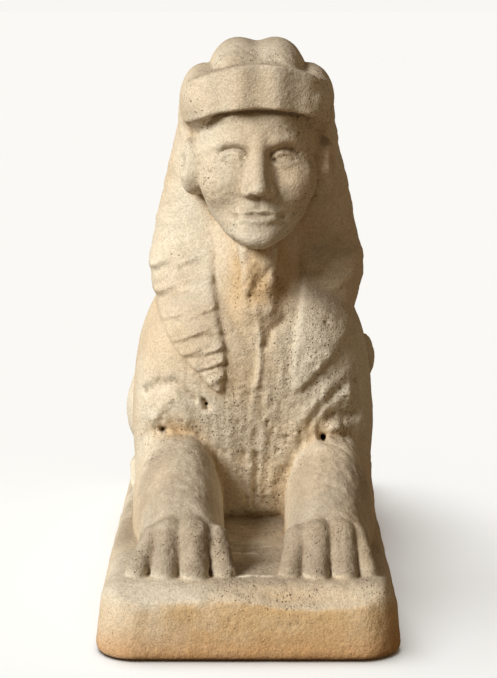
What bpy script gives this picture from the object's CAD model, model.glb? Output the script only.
from math import pi, radians

import bpy
import numpy as np
from bpy.props import FloatProperty, FloatVectorProperty, IntProperty, PointerProperty
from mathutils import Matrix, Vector


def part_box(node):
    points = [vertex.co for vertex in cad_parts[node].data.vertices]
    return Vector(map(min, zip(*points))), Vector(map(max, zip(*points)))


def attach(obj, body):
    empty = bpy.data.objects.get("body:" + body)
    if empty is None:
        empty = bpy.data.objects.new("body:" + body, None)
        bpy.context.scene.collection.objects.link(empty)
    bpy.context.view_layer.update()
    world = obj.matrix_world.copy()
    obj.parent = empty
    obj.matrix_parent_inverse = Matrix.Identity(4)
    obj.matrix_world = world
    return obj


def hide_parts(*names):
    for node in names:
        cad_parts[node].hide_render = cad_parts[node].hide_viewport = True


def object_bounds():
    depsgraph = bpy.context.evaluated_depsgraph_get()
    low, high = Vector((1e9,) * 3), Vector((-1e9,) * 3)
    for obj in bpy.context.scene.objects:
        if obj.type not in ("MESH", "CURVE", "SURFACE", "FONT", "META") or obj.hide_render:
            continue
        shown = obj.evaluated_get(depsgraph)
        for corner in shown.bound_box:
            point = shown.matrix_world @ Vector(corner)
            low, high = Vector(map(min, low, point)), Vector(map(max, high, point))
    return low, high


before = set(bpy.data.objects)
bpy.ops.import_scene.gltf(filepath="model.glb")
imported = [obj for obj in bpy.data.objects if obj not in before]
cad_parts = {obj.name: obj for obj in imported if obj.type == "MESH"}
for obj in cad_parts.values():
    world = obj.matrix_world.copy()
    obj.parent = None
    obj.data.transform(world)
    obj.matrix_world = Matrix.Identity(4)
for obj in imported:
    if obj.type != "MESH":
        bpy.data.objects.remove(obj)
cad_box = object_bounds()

bl_info = {
    "name": "Cast Stone Sphinx",
    "version": (1, 0, 0),
    "blender": (4, 5, 0),
    "location": "3D View > Sidebar > Sphinx",
    "description": "Carves and weathers a cast stone sphinx and sets the stage it stands on",
    "category": "Object",
}

NODE = "sphinx"
MM = 0.001


# Settings

class StoneSettings(bpy.types.PropertyGroup):
    """The statue's sizes, the depth of its weathering and its colours."""

    plinth_height: FloatProperty(
        name="Plinth height", description="From the ground to the surface the figure lies on",
        default=72 * MM, min=20 * MM, unit="LENGTH")
    plinth_batter: FloatProperty(
        name="Plinth batter", description="How far each side leans in between underside and top",
        default=7 * MM, min=0, unit="LENGTH")
    plinth_corner: FloatProperty(
        name="Plinth corner radius", description="Radius of the plinth's corners seen from above",
        default=42 * MM, min=5 * MM, unit="LENGTH")
    plinth_edge: FloatProperty(
        name="Plinth edge", description="Worn radius of the plinth's upper edge",
        default=18 * MM, min=1 * MM, unit="LENGTH")
    grid: FloatProperty(
        name="Grid", description="Spacing of the samples from which the surface is cast",
        default=2.1 * MM, min=1 * MM, unit="LENGTH")
    face_limit: IntProperty(
        name="Face limit", description="Triangles left when the mesh is thinned",
        default=196000, min=10000)
    sag: FloatProperty(
        name="Unevenness", description="Depth of the broad unevenness of the worn surface",
        default=0.9 * MM, min=0, unit="LENGTH")
    lumps: FloatProperty(
        name="Lumps", description="Depth of the small lumps and dents",
        default=0.5 * MM, min=0, unit="LENGTH")
    pit_depth: FloatProperty(
        name="Pit depth", description="Depth of the larger pits",
        default=2.2 * MM, min=0, unit="LENGTH")
    cream: FloatVectorProperty(
        name="Cream", description="Colour of the clean stone", subtype="COLOR",
        size=3, min=0, max=1, default=(0.60, 0.545, 0.43))
    ochre: FloatVectorProperty(
        name="Ochre", description="Colour where damp has drawn iron out of the sand", subtype="COLOR",
        size=3, min=0, max=1, default=(0.50, 0.335, 0.16))
    grey: FloatVectorProperty(
        name="Grey", description="Colour of the weathered skin on upper surfaces", subtype="COLOR",
        size=3, min=0, max=1, default=(0.30, 0.243, 0.175))
    rust: FloatVectorProperty(
        name="Rust", description="Colour of the stain at the foot of the plinth", subtype="COLOR",
        size=3, min=0, max=1, default=(0.43, 0.235, 0.095))
    dirt: FloatVectorProperty(
        name="Dirt", description="Colour of what has settled in pits and hollows", subtype="COLOR",
        size=3, min=0, max=1, default=(0.15, 0.10, 0.055))
    chalk: FloatVectorProperty(
        name="Chalk", description="Colour of fresh chips and scratches", subtype="COLOR",
        size=3, min=0, max=1, default=(0.84, 0.76, 0.62))


class StageSettings(bpy.types.PropertyGroup):
    """The floor, the lamps and the camera."""

    floor_colour: FloatVectorProperty(
        name="Floor", description="Colour of the floor as the camera sees it", subtype="COLOR",
        size=3, min=0, max=1, default=(0.862, 0.905, 0.928))
    bounce_colour: FloatVectorProperty(
        name="Bounce", description="Colour of the light the floor throws back on the statue", subtype="COLOR",
        size=3, min=0, max=1, default=(0.22, 0.165, 0.11))
    room_colour: FloatVectorProperty(
        name="Room light", description="Even warm light from all around", subtype="COLOR",
        size=3, min=0, max=1, default=(0.25, 0.185, 0.12))
    key_strength: FloatProperty(
        name="Key light", description="Strength of the light on the statue", default=5.0, min=0)
    key_softness: FloatProperty(
        name="Key softness", description="Angle that the light on the statue spans",
        default=radians(26), unit="ROTATION")
    key_direction: FloatVectorProperty(
        name="Key direction", description="From the statue towards its light", subtype="DIRECTION",
        size=3, default=(-0.66, -0.50, 0.555))
    floor_light: FloatProperty(
        name="Floor light", description="Strength of the light on the floor", default=2.8, min=0)
    floor_softness: FloatProperty(
        name="Floor softness", description="Angle that the floor's light spans",
        default=radians(56), unit="ROTATION")
    floor_direction: FloatVectorProperty(
        name="Floor light direction", description="From the floor towards its light", subtype="DIRECTION",
        size=3, default=(-0.24, 0.10, 0.97))
    camera_distance: FloatProperty(
        name="Camera distance", description="From the plinth's front to the camera",
        default=1.75, min=0.5, unit="LENGTH")
    camera_height: FloatProperty(
        name="Camera height", description="Above the ground", default=0.617, min=0, unit="LENGTH")
    camera_tilt: FloatProperty(
        name="Camera tilt", description="How far the camera looks down",
        default=radians(9.786), unit="ROTATION")
    focal_length: FloatProperty(
        name="Focal length", description="In millimetres, for a sensor 36 mm long", default=101.3, min=10)


# Fields: each function gives the distance to a surface, below zero inside.
# A place is a tuple of three arrays x, y, z. The figure's fields count in hundredths of its height.

def blend(a, b, reach):
    near = np.maximum(reach - np.abs(a - b), 0) / reach
    return np.minimum(a, b) - near * near * (reach / 4)


def overlap(a, b, reach):
    return -blend(-a, -b, reach)


def cut(a, b, reach):
    return overlap(a, -b, reach)


def smoothstep(x, low, high):
    t = np.clip((x - low) / (high - low), 0, 1)
    return t * t * (3 - 2 * t)


def length(*parts):
    return np.sqrt(sum(part * part for part in parts))


def ellipsoid(p, centre, radii):
    d = [a - c for a, c in zip(p, centre)]
    inner = length(*(a / r for a, r in zip(d, radii)))
    slope = length(*(a / (r * r) for a, r in zip(d, radii)))
    return inner * (inner - 1) / np.maximum(slope, 1e-6)


def limb(p, start, end, start_radius, end_radius):
    span = [b - a for a, b in zip(start, end)]
    size = sum(s * s for s in span)
    t = np.clip(sum((a - s) * u for a, s, u in zip(p, start, span)) / size, 0, 1)
    gap = length(*(a - s - u * t for a, s, u in zip(p, start, span)))
    return gap - (start_radius + (end_radius - start_radius) * t)


def rope(p, points, start_radius, end_radius):
    radii = np.linspace(start_radius, end_radius, len(points))
    spans = zip(points, points[1:], radii, radii[1:])
    return np.minimum.reduce([limb(p, a, b, ra, rb) for a, b, ra, rb in spans])


def oval(dx, dy, half_width, half_depth, power):
    """Distance to an oval; a higher power makes it squarer."""
    ratio = (np.abs(dx / half_width) ** power + np.abs(dy / half_depth) ** power) ** (1 / power)
    ratio = np.maximum(ratio, 1e-3)
    return length(dx, dy) * (1 - 1 / ratio)


class Loft:
    """Smooth measures along stations; each row is a place and the measures there."""

    def __init__(self, rows):
        table = np.array(sorted(rows), float)
        self.places = table[:, 0]
        self.measures = table[:, 1:]
        self.slopes = np.gradient(self.measures, self.places, axis=0)
        self.first, self.last = self.places[0], self.places[-1]

    def at(self, where):
        t = np.clip(where, self.first, self.last)
        i = np.clip(np.searchsorted(self.places, t) - 1, 0, len(self.places) - 2)
        step = self.places[i + 1] - self.places[i]
        s = (t - self.places[i]) / step
        rise = s * s * (3 - 2 * s)
        begin = s * (1 - s) ** 2 * step
        end = s * s * (s - 1) * step
        low, high = self.measures[i].T, self.measures[i + 1].T
        return low + (high - low) * rise + self.slopes[i].T * begin + self.slopes[i + 1].T * end


def column(p, loft, power, rounding):
    """An upright loft whose stations in z give half width, front and back."""
    x, y, z = p
    half_width, front, back = loft.at(z)
    side = oval(x, y - (front + back) / 2, half_width, (back - front) / 2, power)
    return overlap(side, np.maximum(loft.first - z, z - loft.last), rounding)


def barrel(p, loft, power, rounding):
    """A lying loft on the plinth whose stations in y give middle, half width and top."""
    x, y, z = p
    middle, half_width, top = loft.at(y)
    side = oval(x - middle, np.maximum(z, 0), half_width, top, power)
    return overlap(side, np.maximum(loft.first - y, y - loft.last), rounding)


def line(x, z, points):
    """Distance to a bent line, drawn on the figure as it is seen from the front."""
    return rope((x, z), points, 0, 0)


def stroke(x, z, points, width):
    return np.exp(-(line(x, z, points) / width) ** 2)


def dent(x, z, place, width, height=None):
    return np.exp(-((x - place[0]) / width) ** 2 - ((z - place[1]) / (height or width)) ** 2)


# Noise on a lattice of random numbers, for what weather and the mould left behind

class Noise:
    SIZE = 64

    def __init__(self, seed):
        random = np.random.RandomState(seed)
        self.table = random.rand(self.SIZE, self.SIZE, self.SIZE)
        self.seeds = random.rand(4, self.SIZE, self.SIZE, self.SIZE)

    def smooth(self, p, scale):
        """Between -1 and 1; scale is the size of one lump, or one size for each axis."""
        q = p / scale
        whole = np.floor(q).astype(int)
        part = q - whole
        part = part * part * (3 - 2 * part)
        total = 0
        for corner in np.ndindex(2, 2, 2):
            at = (whole + corner) % self.SIZE
            weight = np.prod(np.where(corner, part, 1 - part), axis=1)
            total = total + weight * self.table[at[:, 0], at[:, 1], at[:, 2]]
        return total * 2 - 1

    def layered(self, p, scale, octaves=3, gain=0.5):
        total, weight = 0, 0
        for i in range(octaves):
            total = total + gain ** i * self.smooth(p + 37.7 * i * np.mean(scale), scale / 2 ** i)
            weight += gain ** i
        return total / weight

    def pits(self, p, spacing, smallest, largest, share):
        """Round hollows in a share of the cells: 1 at the bottom of one and 0 between them."""
        q = p / spacing
        home = np.floor(q).astype(int)
        deepest = np.zeros(len(p))
        for offset in np.ndindex(3, 3, 3):
            cell = home + np.array(offset) - 1
            at = tuple((cell % self.SIZE).T)
            place = cell + np.stack([self.seeds[k][at] for k in range(3)], 1)
            chance = self.seeds[3][at]
            radius = smallest + (largest - smallest) * (chance / share) ** 2
            reach = np.where(chance < share, radius, 1e-9)
            gap = length(*((q - place) * spacing).T) / reach
            deepest = np.maximum(deepest, np.clip(1 - gap * gap, 0, 1))
        return deepest


# The figure's masses

FIGURE_TURN = 0.0175  # it lies a degree askew on its plinth
FIGURE_OFFSET = 0.7
HEAD_SHIFT = 0.8  # the head is a little off the body's axis

BUST = Loft([
    (0, 24.2, -19.0, 2), (12, 25.1, -22.0, 2), (22, 25.2, -25.0, 3), (32, 24.0, -26.6, 5),
    (40, 21.8, -26.6, 8), (46, 18.6, -25.4, 9), (51, 14.0, -23.4, 8), (56, 9.5, -21.0, 6),
])
TRUNK = Loft([
    (-8, 0, 20.0, 47.0), (6, 0, 19.0, 46.0), (18, 0, 17.0, 42.5), (30, 0, 16.5, 41.0),
    (42, 0, 17.5, 41.5), (52, 0, 16.0, 37.5), (59, 0, 11.5, 28.0), (62, 0, 8.0, 19.0),
])
FORELEG = Loft([
    (-57, 13.8, 7.6, 8.2), (-52, 14.1, 7.6, 10.4), (-46, 14.5, 7.7, 12.2), (-38, 14.9, 8.5, 14.6),
    (-30, 15.4, 9.2, 17.4), (-22, 15.8, 9.4, 19.0), (-10, 15.8, 9.4, 20.0),
])
FACE = Loft([
    (58.7, 3.0, -31.4, -21), (60.2, 5.6, -32.2, -17), (63, 8.3, -32.2, -12), (67, 10.6, -31.9, -6),
    (71, 12.0, -31.8, -2), (76, 12.8, -31.8, 0), (82, 13.0, -32.0, 1), (88, 12.6, -31.2, 1),
    (94, 11.4, -29.0, 0),
])
WINGS = Loft([
    (93, 11.5, -15.0, 1), (90, 14.9, -18.0, 4.5), (86, 16.0, -19.0, 7), (81.5, 16.7, -19.0, 8.5),
    (74, 18.3, -18.6, 10), (68, 19.7, -18.4, 11), (59.5, 21.5, -18.6, 11.5), (55, 22.2, -19.6, 11),
    (50, 21.8, -21.0, 10), (45, 20.4, -21.0, 8), (40, 18.4, -19.0, 5),
])
LAPPET = Loft([
    (28.6, 7.4, 8.6), (32, 6.7, 11.8), (37, 6.8, 16.5), (44, 8.0, 20.6), (50, 8.8, 22.4), (56, 9.2, 22.8),
])


def chest_relief(x, z):
    """The carving of the chest, which differs from side to side."""
    x = x + 0.12 * np.sin(0.9 * z) + 0.05 * np.sin(2.3 * z + 1)
    keel = 0.45 * stroke(x, z, [(0.3, 47), (0.9, 42), (1.2, 35), (0.6, 30)], 0.6)
    beside = -0.22 * stroke(x, z, [(1.9, 46), (2.5, 40), (2.6, 35)], 1.0)
    collar = -0.35 * stroke(x, z, [(-8, 50), (-3.6, 42.5), (0.0, 36.5)], 1.2)
    crease = -0.6 * stroke(x, z, [(6.0, 43.6), (4.6, 42.3), (3.2, 41.4), (2.4, 38.5)], 0.8)
    low = smoothstep(26 - z, 0, 12)
    ridges = 0.3 * stroke(x, z, [(-1.4, 22), (-0.7, 14), (-0.9, 2)], 0.6)
    ridges += 0.25 * stroke(x, z, [(2.4, 20), (1.5, 12), (1.0, 3)], 0.6)
    ridges += 0.25 * stroke(x, z, [(-5.6, 24), (-4.2, 12), (-2.8, 4)], 0.9)
    ridges += 0.3 * stroke(x, z, [(7.4, 23), (4.9, 13), (3.0, 6)], 0.9)
    parting = -0.25 * stroke(x, z, [(0.7, 15), (0.2, 9), (0.3, 3)], 0.7)
    return keel + beside + collar + crease + (ridges + parting) * low + tented_arm(x, z) + ridged_arm(x, z)


def tented_arm(x, z):
    ridge = [(-20.6, 22.0), (-18.6, 25.6), (-16.4, 27.9), (-14.6, 25.4), (-13.6, 22.4)]
    tent = 0.75 * stroke(x, z, ridge, 1.3)
    filling = 0.25 * stroke(x, z, [(-16.6, 25.6), (-16.9, 22.8)], 2.4)
    arch = -0.75 * stroke(x, z, [(-22.0, 27.6), (-19.6, 29.4), (-15.8, 30.2), (-12.4, 27.2)], 1.1)
    eye = -1.3 * stroke(x, z, [(-10.4, 26.6), (-9.7, 25.0)], 0.55)
    hollow = -0.9 * stroke(x, z, [(-20.8, 19.0), (-17.0, 19.8), (-12.6, 18.9)], 2.0)
    rim = 0.5 * stroke(x, z, [(-21.6, 17.2), (-17.6, 16.8), (-12.4, 17.6)], 0.7)
    holes = -1.6 * dent(x, z, (-18.9, 19.6), 0.7, 0.5) - 1.1 * dent(x, z, (-14.8, 17.6), 0.6, 0.45)
    return tent + filling + arch + eye + hollow + rim + holes


def ridged_arm(x, z):
    along = smoothstep(22 - x, 0, 9)
    ridge = [(19.6, 32.6), (15.8, 29.2), (12.2, 25.2), (9.0, 20.6), (6.6, 13)]
    upper = 0.6 * along * stroke(x, z, ridge, 1.4)
    lower = 0.55 * along * stroke(x, z, [(20.6, 29.2), (16.2, 25.4), (12.8, 21.2), (9.6, 14.5)], 1.3)
    between = -0.35 * stroke(x, z, [(18.0, 29.2), (14.4, 26.2), (11.2, 21.6)], 0.8)
    bump = 0.9 * dent(x, z, (19.6, 27.6), 1.4) - 0.6 * stroke(x, z, [(21.2, 29.8), (21.6, 25.2)], 1.0)
    shade = -0.8 * stroke(x, z, [(20.8, 23.0), (15.2, 22.6)], 1.4)
    knob = 2.0 * dent(x, z, (16.7, 20.6), 1.8, 1.6)
    hole = -3.0 * dent(x, z, (14.4, 18.0), 0.8, 0.75) - 1.5 * dent(x, z, (15.8, 17.2), 1.2, 0.7)
    lip = 0.6 * stroke(x, z, [(12.4, 18.2), (11.6, 15.6)], 0.8)
    return upper + lower + between + bump + shade + knob + hole + lip


def body(p, folded):
    x, y, z = p
    bust = column(p, BUST, 2.8, 3) - smoothstep(-y, 4, 12) * chest_relief(x, z)
    shoulder = ellipsoid(folded, (16.2, -3.5, 24), (8.8, 13.5, 24))
    haunch = ellipsoid(folded, (14.6, 38.5, 19), (11.9, 21.5, 23.5))
    thigh = ellipsoid(folded, (17.8, 24, 15), (10.6, 15.5, 12.5))
    spine = limb(p, (0, 10, 43.2), (0, 50, 38.4), 3, 2.5)
    whole = blend(bust, barrel(p, TRUNK, 2.5, 6), 6)
    whole = blend(whole, shoulder, 3)
    whole = blend(whole, haunch, 8)
    whole = blend(whole, spine, 6)
    whole = blend(whole, thigh, 4)
    # Ribs and the folds of skin at elbow and knee, left faint by the wear
    flank = smoothstep(y, 2, 7) * smoothstep(22 - y, 0, 6) * smoothstep(z, 10, 20)
    return whole + 0.16 * flank * np.cos((y + 0.25 * z) * 1.55)


def toe(p, start, knuckle, tip, radius):
    """From the wrist over the knuckle down to the plinth."""
    upper = limb(p, start, knuckle, radius * 0.9, radius)
    return blend(upper, limb(p, knuckle, tip, radius, radius * 0.88), 0.6)


# The forepaws' toes: where each leaves the wrist, its knuckle, its tip and its radius
TOES = (
    ((-18.0, -50.0, 4.0), (-20.0, -54.4, 5.6), (-23.0, -59.6, 0.6), 2.3),
    ((-16.2, -50.0, 5.2), (-17.0, -55.4, 6.4), (-17.7, -60.4, 0.8), 2.9),
    ((-12.9, -50.0, 5.2), (-12.2, -56.0, 6.6), (-12.0, -60.9, 0.8), 3.1),
    ((-10.8, -50.0, 4.0), (-8.0, -55.0, 5.8), (-6.4, -59.8, 0.6), 2.5),
    ((17.2, -50.0, 4.0), (18.9, -54.2, 5.6), (20.7, -59.4, 0.6), 2.4),
    ((15.6, -50.0, 5.2), (15.8, -55.6, 6.4), (16.4, -60.6, 0.8), 2.9),
    ((12.6, -50.0, 5.2), (11.4, -56.0, 6.5), (11.0, -60.8, 0.8), 2.9),
    ((10.6, -50.0, 4.0), (7.9, -55.0, 5.8), (6.2, -59.8, 0.6), 2.5),
)


def foreleg(p, folded):
    leg = barrel(folded, FORELEG, 2.4, 4)
    leg = blend(leg, ellipsoid(p, (-14.8, -52.2, 0), (9.2, 7.8, 5.8)), 3)
    leg = blend(leg, ellipsoid(p, (13.4, -52.2, 0), (8.6, 7.8, 5.8)), 3)
    toes = toe(p, *TOES[0])
    for row in TOES[1:]:
        toes = blend(toes, toe(p, *row), 0.3)
    return blend(leg, toes, 1.6)


def hind_foot(folded):
    foot = limb(folded, (21.2, 40, 4), (22.2, 12, 3.8), 4.8, 4.3)
    for place in (-1, 0, 1):
        start = (22.2 + place * 2.6, 14, 5.1)
        knuckle = (22.2 + place * 2.9, 9.6, 4.7)
        tip = (22.2 + place * 3.1, 6.3, 1.3)
        foot = blend(foot, toe(folded, start, knuckle, tip, 1.9), 0.6)
    return foot


def tail(p):
    x, y, z = p
    along = [
        (0, 52, 30), (1, 60, 21), (4, 63, 11), (11, 61.5, 5), (19, 56, 3.4),
        (24.4, 48, 6), (26.0, 40, 12), (26.2, 33, 18), (25.8, 27, 23),
    ]
    tuft = ellipsoid(p, (25.6, 22.5, 27), (2.8, 4.2, 5.4)) + 0.22 * np.cos((y + 0.4 * z) * 2.4)
    return blend(rope(p, along, 2.5, 2.0), tuft, 2)


# The face is set out in even thirds from hairline to chin
EYE = (5.05, 76.3)
NOSE_BASE = 69.0
MOUTH = 65.4


def face_relief(x, z):
    """The carving of brows, eyes, mouth and cheeks; x is counted from the middle to either side."""
    across = (x - EYE[0]) / 2.75
    arc = np.maximum(1 - across * across, 0)
    upper, lower = EYE[1] - 0.1 + 1.15 * arc, EYE[1] - 0.1 - 0.8 * arc
    beside = smoothstep(1.25 - np.abs(across), 0, 0.3)
    open_eye = smoothstep(np.minimum(upper - z, z - lower), -0.15, 0.3)
    relief = 0.55 * stroke(x, z, [(1.4, 78.4), (3.8, 79.8), (6.8, 79.7), (9.9, 77.8)], 1.1)
    relief -= 1.35 * dent(x, z, (5.0, 76.9), 3.6, 2.3) + 0.9 * dent(x, z, (2.0, 76.9), 1.15, 1.7)
    relief += 1.5 * dent(x, z, (EYE[0] + 0.1, EYE[1]), 2.5, 1.75)
    relief += 0.26 * np.exp(-((z - upper - 0.25) / 0.42) ** 2) * beside
    relief -= 0.42 * np.exp(-((z - upper - 1.15) / 0.42) ** 2) * beside
    relief += 0.2 * np.exp(-((z - lower + 0.3) / 0.4) ** 2) * beside
    relief -= 0.34 * open_eye
    relief += 0.35 * dent(x, z, (7.4, 71.8), 2.6, 2.2) - 0.3 * dent(x, z, (6.0, 66.5), 2.4, 3.2)
    relief += 0.75 * dent(x, z, (0, MOUTH), 4.4, 2.9)
    relief += 0.42 * stroke(x, z, [(0, 66.3), (1.15, 66.6), (2.6, 66.1), (3.9, 65.5)], 0.65)
    relief += 0.52 * stroke(x, z, [(0, 64.35), (1.5, 64.4), (3.0, 64.9)], 0.8)
    relief -= 0.5 * stroke(x, z, [(0, 65.35), (1.3, 65.45), (2.8, 65.35), (4.2, 65.2)], 0.42)
    relief -= 0.45 * dent(x, z, (4.7, 65.1), 0.75, 0.7) + 0.5 * dent(x, z, (0, 62.9), 2.8, 0.75)
    relief -= 0.28 * stroke(x, z, [(0, 68.6), (0, 67.3)], 0.5)
    return relief


def face(p, folded):
    x, y, z = folded
    skin = column(p, FACE, 2.2, 2.2) - smoothstep(-y, 22, 27) * face_relief(x, z)
    skin = blend(skin, ellipsoid(folded, (6.8, -26.6, 71.5), (4.6, 4.6, 4.8)), 3)
    nose = limb(p, (0, -31.3, 79.4), (0, -34.0, 71.2), 1.25, 1.45)
    nose = blend(nose, limb(folded, (0.7, -30.8, 77.6), (1.35, -32.3, 70.9), 1.1, 1.45), 1.0)
    nose = blend(nose, ellipsoid(p, (0, -34.0, 70.7), (1.7, 1.6, 1.35)), 0.8)
    skin = blend(skin, nose, 1.6)
    skin = blend(skin, ellipsoid(folded, (2.15, -32.3, NOSE_BASE + 1.0), (1.1, 1.6, 1.1)), 0.7)
    skin = cut(skin, ellipsoid(folded, (1.15, -33.6, NOSE_BASE - 0.1), (0.6, 0.9, 0.5)), 0.4)
    skin = blend(skin, ellipsoid(p, (0, -31.0, 61.2), (3.2, 2.2, 2.2)), 2.2)
    return skin


def ear(folded):
    """As tall as from the brow to the base of the nose."""
    shell = ellipsoid(folded, (13.9, -20.3, 74.35), (1.8, 3.3, 5.35))
    shell = cut(shell, ellipsoid(folded, (15.0, -22.8, 75.2), (1.0, 1.6, 2.7)), 0.7)
    behind = ellipsoid(folded, (12.7, -19.0, 74.0), (2.3, 5.0, 5.8))
    return blend(shell, behind, 1.5)


def neck(p, folded):
    throat = limb(p, (0, -13, 40), (0, -14.5, 64), 11, 9)
    throat = blend(throat, limb(p, (0, -22.4, 58), (0, -23.6, 46), 4.4, 3.0), 2)
    throat = blend(throat, limb(folded, (6.6, -17, 60), (4.6, -19.5, 46), 2.2, 1.6), 2)
    block = rope(p, [(0, -25.0, 58), (0.2, -25.4, 49.6), (0.4, -24.8, 46.2)], 2.5, 2.0)
    ribs = rope(folded, [(2.6, -25.8, 58.2), (2.3, -26.2, 52), (1.8, -26.0, 46.6)], 1.3, 1.0)
    return blend(blend(throat, block, 1.6), ribs, 1.6)


def pleats(x, z):
    """Height of the left lappet's pleats: each grows towards its lower edge and steps back there."""
    level = z + 0.25 * (x - 6.5) - 37.3 + 0.24 * np.sin(0.8 * x + 0.5 * z) + 0.08 * np.sin(2.3 * x - z)
    turn = np.sqrt(np.maximum(3.45 ** 2 + 4 * 0.27 * level, 0))
    count = np.maximum(turn - 3.45, -0.9) / (2 * 0.27)
    part = count - np.floor(count)
    return (0.8 + 0.25 * np.sin(1.3 * x + 2.1 * z)) * (1 - part) ** 0.8 * smoothstep(part, 0, 0.34)


def lappet(p, under):
    side, y, z = p
    x = np.abs(side)
    inner, outer = LAPPET.at(z)
    worn = side > 0
    outline = np.maximum.reduce([inner - x, x - outer, (LAPPET.first - z) * 0.7, z - 60, y + 8])
    swelling = 0.8 + 0.5 * smoothstep(x - inner, 0, 6)
    thickness = np.where(worn, swelling, 0.75 + pleats(x, z)) * smoothstep(60 - z, 0, 6)
    return overlap(under - thickness, outline, np.where(worn, 1.6, 1.5))


def crown(p, folded):
    x, y, z = p
    parting = 1.3 * np.exp(-(x / 2.2) ** 2)
    lobes = ellipsoid(folded, (4.6, -14.4, 87.7), (6.3, 17.6, 12.0))
    middle = blend(ellipsoid(p, (0, -14.4, 87.6), (10.6, 18.2, 13.0)), lobes, 1.5) + parting
    sides = ellipsoid(folded, (10.6, -13.4, 87.4), (5.2, 17.0, 7.4))
    droop = (x / 15) ** 2
    edges = np.maximum(86.1 - 3.4 * droop - z, z - (94.9 - 4.0 * droop))
    flutes = 0.3 * np.cos(2 * pi * x / 7.5)
    band = overlap(oval(x, y + 16.4, 15.4, 17.6, 2.3) + flutes, edges, 0.9)
    return blend(blend(middle, sides, 0.6), band, 0.5)


def brow_line(x, y, z):
    """The thin line cut under the brow band, deepest over the middle of the forehead."""
    edge = z - 85.8 + 3.4 * (x / 15) ** 2
    reach = smoothstep(11 - np.abs(x - 0.5), 0, 5) * smoothstep(-y, 27, 30)
    return 0.65 * np.exp(-(edge / 0.35) ** 2) * reach


def headcloth(p, folded):
    x, y, z = p
    # Behind, the cloth hangs in folds that draw together towards the tail on the nape
    fold_pitch = 4.2 + 0.05 * np.maximum(z - 48, 0)
    folds = 0.4 * smoothstep(y, 2, 7) * np.cos(2 * pi * x / fold_pitch)
    wings = column(p, WINGS, 2.7, 4) + folds
    nape = rope(p, [(0, 6, 70), (0, 9, 56), (0, 15, 46.5), (0, 27, 42.4)], 6, 2.4)
    wound = 0.25 * np.cos(1.9 * (z - 0.6 * y)) * smoothstep(y, 6, 12)
    return blend(blend(wings, crown(p, folded), 1.2), nape + wound, 5)


def holes(p):
    """Holes that go deep into the stone above the forearms, and one beside the left lappet."""
    right = limb(p, (14.5, -31, 19.3), (14.2, -18, 17.6), 0.8, 0.5)
    right = blend(right, limb(p, (13.5, -30, 20.2), (14.2, -20, 18.0), 0.6, 0.4), 0.6)
    left = limb(p, (-18.9, -31, 19.9), (-18.9, -18, 19.2), 0.5, 0.3)
    beside = limb(p, (-9.9, -32, 26.4), (-9.7, -21, 25.4), 0.5, 0.35)
    return np.minimum(np.minimum(right, left), beside)


def figure(x, y, z):
    """The whole figure, in hundredths of its height above the plinth's top."""
    lying = (x - FIGURE_OFFSET + FIGURE_TURN * y, y, z)
    whole = body(lying, (np.abs(lying[0]), y, z))
    above, below = z > 24, z <= 24
    raised = tuple(a[above] for a in (lying[0] - HEAD_SHIFT, y, z))
    folded = (np.abs(raised[0]), raised[1], raised[2])
    upper = blend(whole[above], neck(raised, folded), 4)
    upper = blend(upper, headcloth(raised, folded), 1.5)
    upper = blend(upper, lappet(raised, upper), 0.6)
    upper = blend(upper, face(raised, folded), 0.8) + brow_line(*raised)
    upper = blend(upper, ear(folded), 1.6)
    folded = tuple(a[below] for a in (np.abs(lying[0]), y, z))
    lower = blend(whole[below], foreleg(tuple(a[below] for a in lying), folded), 1.8)
    lower = blend(lower, hind_foot(folded), 1.2)
    whole[above] = upper
    whole[below] = lower
    return cut(blend(whole, tail(lying), 0.8), holes(lying), 0.8)


class Block:
    """The statue as one field in metres, from the settings and the frame's box."""

    def __init__(self, settings):
        low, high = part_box(NODE)
        self.half_width = (high.x - low.x) / 2
        self.half_length = (high.y - low.y) / 2
        self.top = settings.plinth_height
        self.batter = settings.plinth_batter
        self.corner = settings.plinth_corner
        self.edge = settings.plinth_edge
        self.unit = (high.z - self.top) / 100

    def plinth(self, x, y, z):
        lean = self.batter * z / self.top
        dx = np.abs(x) - (self.half_width - lean - self.corner)
        dy = np.abs(y) - (self.half_length - lean - self.corner)
        side = length(np.maximum(dx, 0), np.maximum(dy, 0)) + np.minimum(np.maximum(dx, dy), 0) - self.corner
        slab = overlap(side, z - self.top, self.edge)
        slab = overlap(slab, self.worn_front(x, y, z), 5 * MM)
        return overlap(slab, -z, 0.6 * self.edge)

    def worn_front(self, x, y, z):
        """Above a plane that slopes down to the front edge, lowest on the right half."""
        drop = 12 + 5 * np.exp(-((x - 0.065) / 0.05) ** 2) - 4 * np.exp(-((x + 0.03) / 0.04) ** 2)
        run = -y - (self.half_length - 27 * MM)
        return 0.87 * (z - self.top) + 0.87 * run * drop / 20

    def in_units(self, points):
        """The points' x, y and z in the figure's units."""
        x, y, z = points.T
        return x / self.unit, y / self.unit, (z - self.top) / self.unit

    def __call__(self, points):
        x, y, z = points.T
        raised = figure(*self.in_units(points)) * self.unit
        return blend(self.plinth(x, y, z), np.maximum(raised, -z + self.top / 2), 0.8 * self.unit)

    def settle(self, points, rounds):
        """Moves points onto the surface along the field's slope."""
        probe = 0.3 * MM
        furthest = 3 * MM
        for _ in range(rounds):
            here = self(points)
            slope = np.stack([(self(points + step) - here) / probe for step in np.eye(3) * probe], 1)
            steep = np.maximum((slope ** 2).sum(1), 0.25)
            points = points - np.clip((here / steep)[:, None] * slope, -furthest, furthest)
            points[:, 2] = np.maximum(points[:, 2], 0)
        return points


# Weathering

NOISE_SEED = 7


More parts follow.
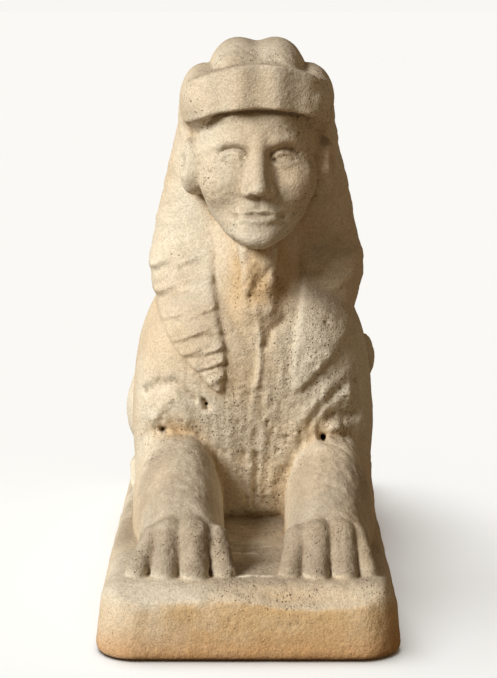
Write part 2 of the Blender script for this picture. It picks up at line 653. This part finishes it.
def weathering(points, block, settings):
    """How far each point moves out along its normal."""
    noise = Noise(NOISE_SEED)
    x, y, z = block.in_units(points)
    broad = noise.layered(points, 42 * MM, 3)
    small = noise.layered(points + 0.31, 8 * MM, 3, 0.6)
    rough = roughness(x, y, z, noise, points)
    depth = settings.sag * broad * (0.35 + 0.65 * rough) + settings.lumps * small * (0.35 + 1.5 * rough)
    streaks = noise.layered(points, np.array([5, 9, 34]) * MM, 2)
    front = smoothstep(-y, 8, 16) * smoothstep(z, 2, 6) * smoothstep(40 - z, 0, 8)
    depth += settings.lumps * 2.3 * streaks * front
    cloth = smoothstep(z, 44, 50) * smoothstep(np.abs(x), 12.5, 15) * smoothstep(92 - z, 0, 8)
    depth += 2.6 * settings.sag * noise.layered(points + 5.2, np.array([26, 26, 15]) * MM, 3) * cloth
    beard = dent(x, z, (2.3, 51.5), 5.0, 7.5) * smoothstep(-y, 18, 23)
    depth += 3.4 * MM * noise.layered(points + 6.4, np.array([8, 8, 12]) * MM, 3) * beard
    crowd = smoothstep(noise.layered(points + 0.77, 24 * MM, 2), -0.25, 0.45) * rough
    coarse = noise.pits(points, 9.5 * MM, 1.4 * MM, 4.0 * MM, 0.55) * crowd
    fine = noise.pits(points + 0.5, 5.2 * MM, 1.0 * MM, 2.2 * MM, 0.6) * np.sqrt(crowd)
    pits = settings.pit_depth * np.maximum(coarse, 0.55 * fine)
    eaten = np.maximum(noise.layered(points + 3.1, np.array([6, 6, 9]) * MM, 2), 0)
    pits = pits + 1.5 * MM * eaten * smoothstep(rough, 0.75, 1.25)
    chipped = plinth_edges(x, y, z, noise, points)
    keep_flat = smoothstep(points[:, 2], 0.2 * MM, 4 * MM)
    return (depth - pits - chipped * block.unit) * keep_flat


def roughness(x, y, z, noise, points):
    """How rough the skin is: smooth on the forearms, wings and left flank, coarse where it has eroded."""
    patches = 0.5 + 0.5 * noise.layered(points + 1.9, 60 * MM, 2)
    rough = 0.25 + 0.4 * patches
    chest = dent(x, z, (1, 20), 13, 17) * smoothstep(-y, 12, 20)
    beard = 1.3 * dent(x, z, (2.3, 51), 4.2, 6) * smoothstep(-y, 16, 22)
    band = 1.2 * dent(x, z, (4, 90), 8, 6) * smoothstep(-y, 22, 30)
    head = 0.5 * smoothstep(-y, 20, 24) * smoothstep(z, 58, 61)
    right_lappet = 0.8 * dent(x, z, (15, 36), 6, 8) * smoothstep(-y, 14, 20)
    arms = 0.8 * dent(np.abs(x), z, (17, 20), 6, 5) * smoothstep(-y, 16, 22)
    paws = 0.3 * smoothstep(-y, 50, 60) * smoothstep(z, -0.5, 1.5)
    ledge = 0.6 * smoothstep(-y, 58, 64) * dent(x, z, (9, -1.5), 14, 2.6)
    between = 0.6 * dent(x, z, (1, 3), 7, 5) * smoothstep(-y, 14, 20)
    rough = rough + 0.8 * chest + beard + band + head + right_lappet + arms + paws + ledge + between
    forearm = smoothstep(-y, 29, 33) * smoothstep(58 + y, 0, 12) * smoothstep(z, 2, 7)
    return np.clip(rough, 0, 1.3) * (1 - 0.75 * forearm)


def grime(x, y, z):
    """Where hands and rain have greyed the stone beside its upper surfaces."""
    legs = 0.35 * smoothstep(-y, 27, 36) * smoothstep(z, -0.5, 2)
    paws = (1.4 - 0.7 * smoothstep(x, 4, 12)) * smoothstep(-y, 48, 58) * smoothstep(z, -0.5, 3)
    lappet_grey = 0.35 * dent(x, z, (-13, 42), 8, 11) + 0.2 * dent(x, z, (16, 52), 7, 7)
    lappet_grey = lappet_grey * smoothstep(-y, 12, 18)
    pale_side = -0.35 * smoothstep(-x, 9, 20) * smoothstep(z, 0, 20)
    lip = 0.25 * smoothstep(-y, 61.5, 64) * smoothstep(1.5 - z, 0, 1.5)
    corner = 0.4 * smoothstep(-x, 14, 24) * smoothstep(-y, 60, 66)
    return legs + paws + lappet_grey + corner - lip + pale_side * (1 - smoothstep(-y, 24, 30))


def earth(x, y, z):
    """Where damp has turned the stone brown: neck, the foot of the chest, and the hollows at the elbows."""
    neck_stain = 1.5 * dent(x, z, (2.5, 52), 6, 7) * smoothstep(-y, 12, 18)
    brow = 1.2 * dent(x, z, (0, 83), 10, 5) * smoothstep(-y, 22, 28)
    front = smoothstep(-y, 14, 20) * smoothstep(34 + y, 0, 4)
    chest_foot = 0.35 * dent(x, z, (1, 8), 9, 10) * front
    elbows = 0.6 * dent(np.abs(x), z, (15, 20), 6, 4) * front
    chest = 0.55 * dent(x, z, (0, 32), 13, 17) * front
    lip = 0.7 * smoothstep(-y, 61.5, 65) * dent(x, z, (6, -1), 18, 3)
    return neck_stain + chest_foot + elbows + chest + lip - brow


def scratches(x, y, z, noise, points):
    """Chalky scratches on the plinth between the paws."""
    drawn = stroke(x, y, [(-5.2, -40.6), (-1.0, -41.3), (4.6, -40.2)], 0.3)
    drawn += stroke(x, y, [(-4.2, -44.6), (1.4, -45.0)], 0.3)
    drawn += stroke(x, y, [(-3.6, -61.0), (0.4, -60.3), (4.2, -60.6)], 0.45)
    return drawn * smoothstep(2.5 - z, 0, 1) * smoothstep(noise.smooth(points, 7 * MM), -0.6, 0.3)


def plinth_edges(x, y, z, noise, points):
    """Wear of the plinth's upper edge, deepest at the front right, in the figure's units."""
    near_top = np.exp(-((z + 1.2) / 2.4) ** 2)
    rim = np.maximum(smoothstep(np.abs(x), 24.5, 28), smoothstep(np.abs(y), 65, 69))
    wave = noise.layered(points + 2.7, np.array([38, 38, 20]) * MM, 2)
    front = smoothstep(-y, 60, 67)
    bite = 0.35 + 0.55 * wave + 0.5 * front * dent(x, z, (9, -2), 9, 3)
    return near_top * rim * np.maximum(bite, -0.2)


# Casting: the field's surface as points and quads

CORNERS = np.array(list(np.ndindex(2, 2, 2)))
EDGES = [(a, b) for a in range(8) for b in range(a) if abs(CORNERS[a] - CORNERS[b]).sum() == 1]


def in_portions(field, points, size=200000):
    return np.concatenate([field(points[i:i + size]) for i in range(0, len(points), size)])


def cast(field, low, high, step, brick=4):
    """A point in each cell that the surface crosses, and a quad over each edge that it crosses."""
    bricks = np.ceil((high - low) / (step * brick)).astype(int)
    middles = low + (np.indices(bricks).reshape(3, -1).T + 0.5) * step * brick
    near = (np.abs(in_portions(field, middles)) < 1.5 * step * brick).reshape(bricks)
    cells = near.repeat(brick, 0).repeat(brick, 1).repeat(brick, 2)
    shape = np.array(cells.shape) + 1
    wanted = np.zeros(shape, bool)
    for i, j, k in CORNERS:
        wanted[i:shape[0] - 1 + i, j:shape[1] - 1 + j, k:shape[2] - 1 + k] |= cells
    values = np.ones(shape)
    values[wanted] = in_portions(field, low + np.argwhere(wanted) * step)
    values = values.ravel()
    jumps = np.array([shape[1] * shape[2], shape[2], 1])
    places = np.argwhere(cells)
    keys = places @ jumps
    inside = np.stack([values[keys + corner @ jumps] < 0 for corner in CORNERS], 1)
    crossed = inside.any(1) & ~inside.all(1)
    places, keys, inside = places[crossed], keys[crossed], inside[crossed]
    total, number = np.zeros((len(keys), 3)), np.zeros(len(keys))
    for a, b in EDGES:
        at = inside[:, a] != inside[:, b]
        first, second = (values[keys[at] + CORNERS[c] @ jumps] for c in (a, b))
        share = (first / (first - second))[:, None]
        total[at] += CORNERS[a] + (CORNERS[b] - CORNERS[a]) * share
        number[at] += 1
    points = low + (places + total / number[:, None]) * step
    quads = []
    for axis in range(3):
        over = 1 << (2 - axis)  # the corner that is one step along the axis
        u, v = jumps[(axis + 1) % 3], jumps[(axis + 2) % 3]
        for begins_inside in (True, False):
            at = keys[(inside[:, 0] != inside[:, over]) & (inside[:, 0] == begins_inside)]
            ring = [at, at - u, at - u - v, at - v]
            quads.append(np.stack(ring if begins_inside else ring[::-1], 1))
    return points, np.searchsorted(keys, np.concatenate(quads))


# Mesh work

def select_only(piece):
    bpy.ops.object.select_all(action="DESELECT")
    piece.select_set(True)
    bpy.context.view_layer.objects.active = piece


def apply_modifier(piece, kind, **values):
    select_only(piece)
    modifier = piece.modifiers.new(kind.lower(), kind)
    for name, value in values.items():
        setattr(modifier, name, value)
    bpy.ops.object.modifier_apply(modifier=modifier.name)


def places(mesh):
    found = np.empty(len(mesh.vertices) * 3)
    mesh.vertices.foreach_get("co", found)
    return found.reshape(-1, 3)


def move_to(mesh, points):
    mesh.vertices.foreach_set("co", points.ravel())
    mesh.update()


def normals(mesh):
    found = np.empty(len(mesh.vertices) * 3, np.float32)
    mesh.vertex_normals.foreach_get("vector", found)
    return found.reshape(-1, 3).astype(float)


def average_of_neighbours(mesh):
    """A function that gives, for values at the vertices, the mean of each vertex's neighbours."""
    ends = np.empty(len(mesh.edges) * 2, int)
    mesh.edges.foreach_get("vertices", ends)
    a, b = ends.reshape(-1, 2).T
    count = len(mesh.vertices)
    number = np.maximum(np.bincount(a, minlength=count) + np.bincount(b, minlength=count), 1)

    def average(values):
        total = np.bincount(a, values[b], count) + np.bincount(b, values[a], count)
        return total / number

    return average


def hollowness(mesh, rounds):
    """How far each vertex lies below the surface smoothed over a number of rounds, in metres."""
    average = average_of_neighbours(mesh)
    start = places(mesh)
    smooth = start.copy()
    for _ in range(rounds):
        for axis in range(3):
            smooth[:, axis] = 0.5 * smooth[:, axis] + 0.5 * average(smooth[:, axis])
    return ((smooth - start) * normals(mesh)).sum(1)


def store(mesh, name, values):
    layer = mesh.attributes.new(name, "FLOAT", "POINT")
    layer.data.foreach_set("value", values.astype(np.float32))


# Materials

def node(tree, kind, inputs=(), **values):
    made = tree.nodes.new(kind)
    for name, value in values.items():
        setattr(made, name, value)
    for socket, value in dict(inputs).items():
        target = made.inputs[socket]
        if isinstance(value, bpy.types.NodeSocket):
            tree.links.new(value, target)
        else:
            target.default_value = value
    return made


def math(tree, operation, a, b=0.0, clamp=False):
    return node(tree, "ShaderNodeMath", {0: a, 1: b}, operation=operation, use_clamp=clamp).outputs[0]


def ramp(tree, value, low, high, to_low=0.0, to_high=1.0):
    inputs = {"Value": value, "From Min": low, "From Max": high, "To Min": to_low, "To Max": to_high}
    return node(tree, "ShaderNodeMapRange", inputs, interpolation_type="SMOOTHSTEP").outputs["Result"]


def tint(tree, share, below, above, mode="MIX"):
    mix = node(tree, "ShaderNodeMix", data_type="RGBA", blend_type=mode)
    for socket, value in ((mix.inputs[0], share), (mix.inputs[6], below), (mix.inputs[7], above)):
        if isinstance(value, bpy.types.NodeSocket):
            tree.links.new(value, socket)
        else:
            socket.default_value = value
    return mix.outputs[2]


def clouds(tree, place, scale, detail=4.0, rough=0.55):
    inputs = {"Vector": place, "Scale": scale, "Detail": detail, "Roughness": rough}
    return node(tree, "ShaderNodeTexNoise", inputs).outputs["Fac"]


def new_group(name, inputs, outputs):
    tree = bpy.data.node_groups.new(name, "ShaderNodeTree")
    for socket, kind, default in inputs:
        made = tree.interface.new_socket(socket, in_out="INPUT", socket_type=kind)
        if default is not None:
            made.default_value = default
    for socket, kind in outputs:
        tree.interface.new_socket(socket, in_out="OUTPUT", socket_type=kind)
    return tree, tree.nodes.new("NodeGroupInput"), tree.nodes.new("NodeGroupOutput")


def pitting_group():
    """Small round pits of one size, gathered in patches."""
    tree, given, out = new_group(
        "Pitting",
        [("Place", "NodeSocketVector", None), ("Pits per metre", "NodeSocketFloat", 300.0),
         ("Width", "NodeSocketFloat", 0.3), ("Crowding", "NodeSocketFloat", 0.5)],
        [("Pit", "NodeSocketFloat")])
    place = given.outputs["Place"]
    wobble = node(tree, "ShaderNodeTexNoise", {"Vector": place, "Scale": 500.0, "Detail": 1.0})
    offset = {0: wobble.outputs["Color"], 1: (0.0024,) * 3}
    shifted = node(tree, "ShaderNodeVectorMath", offset, operation="MULTIPLY")
    spot = node(tree, "ShaderNodeVectorMath", {0: place, 1: shifted.outputs[0]}, operation="ADD").outputs[0]
    cells = node(tree, "ShaderNodeTexVoronoi", {"Vector": spot, "Scale": given.outputs["Pits per metre"]})
    chance = node(tree, "ShaderNodeSeparateColor", {"Color": cells.outputs["Color"]}).outputs["Red"]
    size = math(tree, "MULTIPLY", given.outputs["Width"], ramp(tree, chance, 0.0, 1.0, 0.35, 1.0))
    hole = ramp(tree, math(tree, "DIVIDE", cells.outputs["Distance"], size), 1.0, 0.35)
    held = math(tree, "LESS_THAN", chance, given.outputs["Crowding"])
    tree.links.new(math(tree, "MULTIPLY", hole, held), out.inputs["Pit"])
    return tree


def grain_group():
    """Sand grain: fine bumps, as a height."""
    tree, given, out = new_group(
        "Sand grain",
        [("Place", "NodeSocketVector", None), ("Grains per metre", "NodeSocketFloat", 430.0)],
        [("Height", "NodeSocketFloat"), ("Speckle", "NodeSocketFloat")])
    place, scale = given.outputs["Place"], given.outputs["Grains per metre"]
    fine = clouds(tree, place, scale, 3.0, 0.65)
    coarse = clouds(tree, place, math(tree, "MULTIPLY", scale, 0.33), 2.0, 0.6)
    height = math(tree, "ADD", math(tree, "MULTIPLY", fine, 0.6), math(tree, "MULTIPLY", coarse, 0.8))
    tree.links.new(height, out.inputs["Height"])
    finer = math(tree, "MULTIPLY", scale, 1.5)
    grains = node(tree, "ShaderNodeTexVoronoi", {"Vector": place, "Scale": finer})
    speckle = node(tree, "ShaderNodeSeparateColor", {"Color": grains.outputs["Color"]}).outputs["Green"]
    tree.links.new(speckle, out.inputs["Speckle"])
    return tree


def stone_material(settings, block):
    """Cream cast stone with ochre and grey weathering, dirt in its hollows and a stained foot."""
    material = bpy.data.materials.new("Weathered cast stone")
    material.use_nodes = True
    tree = material.node_tree
    tree.nodes.clear()
    place = node(tree, "ShaderNodeTexCoord").outputs["Object"]
    axes = node(tree, "ShaderNodeSeparateXYZ", {"Vector": place}).outputs
    normal = node(tree, "ShaderNodeTexCoord").outputs["Normal"]
    facing = node(tree, "ShaderNodeSeparateXYZ", {"Vector": normal}).outputs

    def attribute(name):
        return node(tree, "ShaderNodeAttribute", attribute_name=name).outputs["Fac"]

    def colour(name):
        return (*getattr(settings, name), 1.0)

    def times(a, b):
        return math(tree, "MULTIPLY", a, b)

    def plus(a, b):
        return math(tree, "ADD", a, b)

    def eased(value, low, high, to_low=0.0, to_high=1.0):
        return ramp(tree, value, low, high, to_low, to_high)

    def patchy(scale, detail=4.0, rough=0.55):
        return clouds(tree, place, scale, detail, rough)

    def laid(share, below, name):
        return tint(tree, share, below, colour(name))

    grain = node(tree, "ShaderNodeGroup", node_tree=grain_group())
    tree.links.new(place, grain.inputs["Place"])
    pitting = pitting_group()
    crowding = eased(patchy(22.0, 3.0), 0.34, 0.64, 0.16, 0.7)
    crowding = times(crowding, eased(attribute("rough"), 0.25, 0.95, 0.25, 1.7))
    pits = []
    for per_metre, width in ((230.0, 0.32), (430.0, 0.4)):
        group = node(tree, "ShaderNodeGroup", node_tree=pitting)
        group.inputs["Pits per metre"].default_value = per_metre
        group.inputs["Width"].default_value = width
        tree.links.new(place, group.inputs["Place"])
        tree.links.new(crowding, group.inputs["Crowding"])
        pits.append(group.outputs["Pit"])

    # Colour, from the clean stone up
    base = laid(eased(patchy(7.0), 0.40, 0.66, 0.0, 0.42), colour("cream"), "ochre")
    wavy = plus(axes["Z"], times(patchy(30.0), 0.03))
    low = eased(wavy, block.top * 1.12, block.top * 0.86)
    upright = times(eased(facing["Z"], 0.85, 0.3), eased(axes["X"], -0.15, -0.05, 0.45, 1.0))
    damp = plus(eased(attribute("shelter"), -0.001, 0.014, 0.0, 0.9), times(low, upright))
    damp = math(tree, "MULTIPLY", damp, eased(patchy(26.0), 0.25, 0.6, 0.6, 1.0), clamp=True)
    base = laid(times(damp, 0.95), base, "ochre")
    skin = eased(patchy(11.0, rough=0.6), 0.30, 0.66, 0.35, 1.0)
    skin = times(skin, eased(plus(facing["Z"], attribute("grime")), 0.1, 0.95, 0.05, 0.92))
    base = laid(skin, base, "grey")
    soot = times(eased(attribute("grime"), 0.5, 1.5, 0.0, 0.8), patchy(40.0))
    base = laid(soot, base, "dirt")
    base = laid(times(attribute("scratched"), 0.7), base, "chalk")
    foot = plus(axes["Z"], times(patchy(45.0), -0.022))
    base = laid(eased(foot, 0.028, -0.010, 0.0, 0.75), base, "rust")
    base = laid(times(eased(attribute("hollow"), 0.0001, 0.0013), 0.5), base, "dirt")
    base = laid(times(eased(attribute("hollow"), -0.0005, -0.0018), 0.22), base, "chalk")
    for pit, share in zip(pits, (0.7, 0.62)):
        base = laid(times(pit, share), base, "dirt")
    speck = eased(grain.outputs["Speckle"], 0.0, 1.0, 0.86, 1.1)
    channels = {"Red": speck, "Green": speck, "Blue": speck}
    speckled = node(tree, "ShaderNodeCombineColor", channels).outputs["Color"]
    base = tint(tree, 1.0, base, speckled, "MULTIPLY")

    # Fine relief, too small for the mesh
    height = times(grain.outputs["Height"], 0.0013)
    for pit, depth in zip(pits, (0.0016, 0.0009)):
        height = math(tree, "SUBTRACT", height, times(pit, depth))
    relief = node(tree, "ShaderNodeBump", {"Height": height, "Distance": 1.0, "Strength": 0.9})
    shader = node(tree, "ShaderNodeBsdfPrincipled", {
        "Base Color": base, "Normal": relief.outputs["Normal"],
        "Roughness": ramp(tree, grain.outputs["Height"], 0.4, 1.0, 0.96, 0.84)})
    shader.inputs["Specular IOR Level"].default_value = 0.25
    out = node(tree, "ShaderNodeOutputMaterial")
    tree.links.new(shader.outputs["BSDF"], out.inputs["Surface"])
    return material


def floor_material(settings):
    """A floor that reads as pale paper, but throws only a little warm light back on the statue."""
    material = bpy.data.materials.new("Seamless floor")
    material.use_nodes = True
    tree = material.node_tree
    shader = tree.nodes["Principled BSDF"]
    seen = node(tree, "ShaderNodeLightPath").outputs["Is Camera Ray"]
    paper = tint(tree, seen, (*settings.bounce_colour, 1.0), (*settings.floor_colour, 1.0))
    tree.links.new(paper, shader.inputs["Base Color"])
    shader.inputs["Roughness"].default_value = 1.0
    shader.inputs["Specular IOR Level"].default_value = 0.0
    return material


# Operators

CAST_MARGIN = 9 * MM
SETTLING_ROUNDS = 2
THINNING_LEVELS = 8
HOLLOW_ROUNDS = 6
SHELTER_ROUNDS = 160
EARTH_DEPTH = 11 * MM  # the shelter that the brownest places count for


class SPHINX_OT_carve(bpy.types.Operator):
    """Cast the statue from its field and weather its surface"""

    bl_idname = "sphinx.carve"
    bl_label = "Carve Statue"

    def execute(self, context):
        settings = context.scene.sphinx_stone
        block = Block(settings)
        grid = settings.grid * 1.0
        low, high = (np.array(corner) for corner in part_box(NODE))
        points, quads = cast(block, low - CAST_MARGIN, high + CAST_MARGIN, grid)
        points = block.settle(points, SETTLING_ROUNDS)
        mesh = bpy.data.meshes.new("statue")
        mesh.from_pydata(points, [], quads)
        statue = bpy.data.objects.new("statue", mesh)
        context.collection.objects.link(statue)
        depth = weathering(points, block, settings)
        points += normals(statue.data) * depth[:, None]
        points[:, 2] = np.maximum(points[:, 2], 0)
        move_to(statue.data, points)
        apply_modifier(statue, "TRIANGULATE")
        self.thin(statue, settings.face_limit)
        self.finish_surface(statue, block)
        statue.data.materials.clear()
        statue.data.materials.append(stone_material(settings, block))
        bpy.data.collections["lit by key"].objects.link(statue)
        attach(statue, "root")
        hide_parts(NODE)
        return {"FINISHED"}

    def thin(self, statue, limit):
        """Takes out triangles, fewer of them where the carving is."""
        _, facing, upward = normals(statue.data).T
        hidden = np.maximum(smoothstep(facing, -0.2, 0.4), smoothstep(-upward, 0.9, 0.95))
        group = statue.vertex_groups.new(name="plain")
        for level in range(THINNING_LEVELS + 1):
            chosen = np.flatnonzero(np.round(hidden * THINNING_LEVELS) == level)
            group.add(chosen.tolist(), 0.5 + 0.45 * level / THINNING_LEVELS, "REPLACE")
        share = min(limit / len(statue.data.polygons), 1.0)
        apply_modifier(statue, "DECIMATE", ratio=share, vertex_group="plain", vertex_group_factor=0.0004)
        statue.vertex_groups.clear()

    def finish_surface(self, statue, block):
        """Shades the mesh smooth and stores what the stone's colours depend on."""
        mesh = statue.data
        mesh.shade_smooth()
        points = places(mesh)
        noise = Noise(NOISE_SEED)
        x, y, z = block.in_units(points)
        store(mesh, "hollow", hollowness(mesh, HOLLOW_ROUNDS))
        store(mesh, "shelter", hollowness(mesh, SHELTER_ROUNDS) + EARTH_DEPTH * earth(x, y, z))
        store(mesh, "rough", roughness(x, y, z, noise, points))
        store(mesh, "grime", grime(x, y, z))
        store(mesh, "scratched", scratches(x, y, z, noise, points))


class SPHINX_OT_stage(bpy.types.Operator):
    """Lay the floor, hang the lamps and place the camera"""

    bl_idname = "sphinx.stage"
    bl_label = "Set Stage"

    def execute(self, context):
        settings = context.scene.sphinx_stage
        self.lay_floor(context, settings)
        self.hang_lamps(context, settings)
        self.place_camera(context, settings)
        context.scene.view_settings.view_transform = "Standard"
        return {"FINISHED"}

    def lay_floor(self, context, settings):
        bpy.ops.object.select_all(action="DESELECT")
        bpy.ops.mesh.primitive_plane_add(size=1000)
        floor = context.active_object
        floor.name = "floor"
        floor.data.materials.append(floor_material(settings))

    def hang_lamps(self, context, settings):
        key = self.sun(context, "key", settings.key_strength, settings.key_softness, settings.key_direction)
        key.data.color = (1.0, 0.985, 0.96)
        soft = self.sun(
            context, "floor light", settings.floor_light, settings.floor_softness, settings.floor_direction)
        # Each light falls on its own subject, the shadow on the floor being softer than those on the stone
        for lamp, name in ((key, "lit by key"), (soft, "lit by floor light")):
            lamp.light_linking.receiver_collection = bpy.data.collections.new(name)
        soft.light_linking.receiver_collection.objects.link(bpy.data.objects["floor"])
        world = bpy.data.worlds.new("room")
        world.use_nodes = True
        tree = world.node_tree
        seen = node(tree, "ShaderNodeLightPath").outputs["Is Camera Ray"]
        light = tint(tree, seen, (*settings.room_colour, 1.0), (0.94, 0.93, 0.90, 1.0))
        tree.links.new(light, tree.nodes["Background"].inputs["Color"])
        context.scene.world = world

    def sun(self, context, name, strength, softness, direction):
        light = bpy.data.lights.new(name, "SUN")
        light.energy = strength
        light.angle = softness
        lamp = bpy.data.objects.new(name, light)
        lamp.rotation_euler = Vector(direction).to_track_quat("Z", "Y").to_euler()
        context.collection.objects.link(lamp)
        return lamp

    def place_camera(self, context, settings):
        low, _ = cad_box
        camera = bpy.data.cameras.new("camera")
        camera.sensor_width = 36
        camera.lens = settings.focal_length
        camera.clip_end = 1000
        eye = bpy.data.objects.new("camera", camera)
        eye.location = (0, low.y - settings.camera_distance, settings.camera_height)
        eye.rotation_euler = (pi / 2 - settings.camera_tilt, 0, 0)
        context.collection.objects.link(eye)
        context.scene.camera = eye


class SPHINX_PT_panel(bpy.types.Panel):
    """The statue's sizes and colours, and the steps that make it"""

    bl_label = "Sphinx"
    bl_idname = "SPHINX_PT_panel"
    bl_space_type = "VIEW_3D"
    bl_region_type = "UI"
    bl_category = "Sphinx"

    def draw(self, context):
        steps = ((SPHINX_OT_stage, context.scene.sphinx_stage), (SPHINX_OT_carve, context.scene.sphinx_stone))
        for step, settings in steps:
            box = self.layout.box()
            for name in settings.__annotations__:
                box.prop(settings, name)
            box.operator(step.bl_idname)


CLASSES = (StoneSettings, StageSettings, SPHINX_OT_carve, SPHINX_OT_stage, SPHINX_PT_panel)


def register():
    for made in CLASSES:
        bpy.utils.register_class(made)
    bpy.types.Scene.sphinx_stone = PointerProperty(type=StoneSettings)
    bpy.types.Scene.sphinx_stage = PointerProperty(type=StageSettings)


def unregister():
    del bpy.types.Scene.sphinx_stage
    del bpy.types.Scene.sphinx_stone
    for made in reversed(CLASSES):
        bpy.utils.unregister_class(made)


def main():
    register()
    bpy.ops.sphinx.stage()
    bpy.ops.sphinx.carve()


if __name__ == "__main__":
    main()
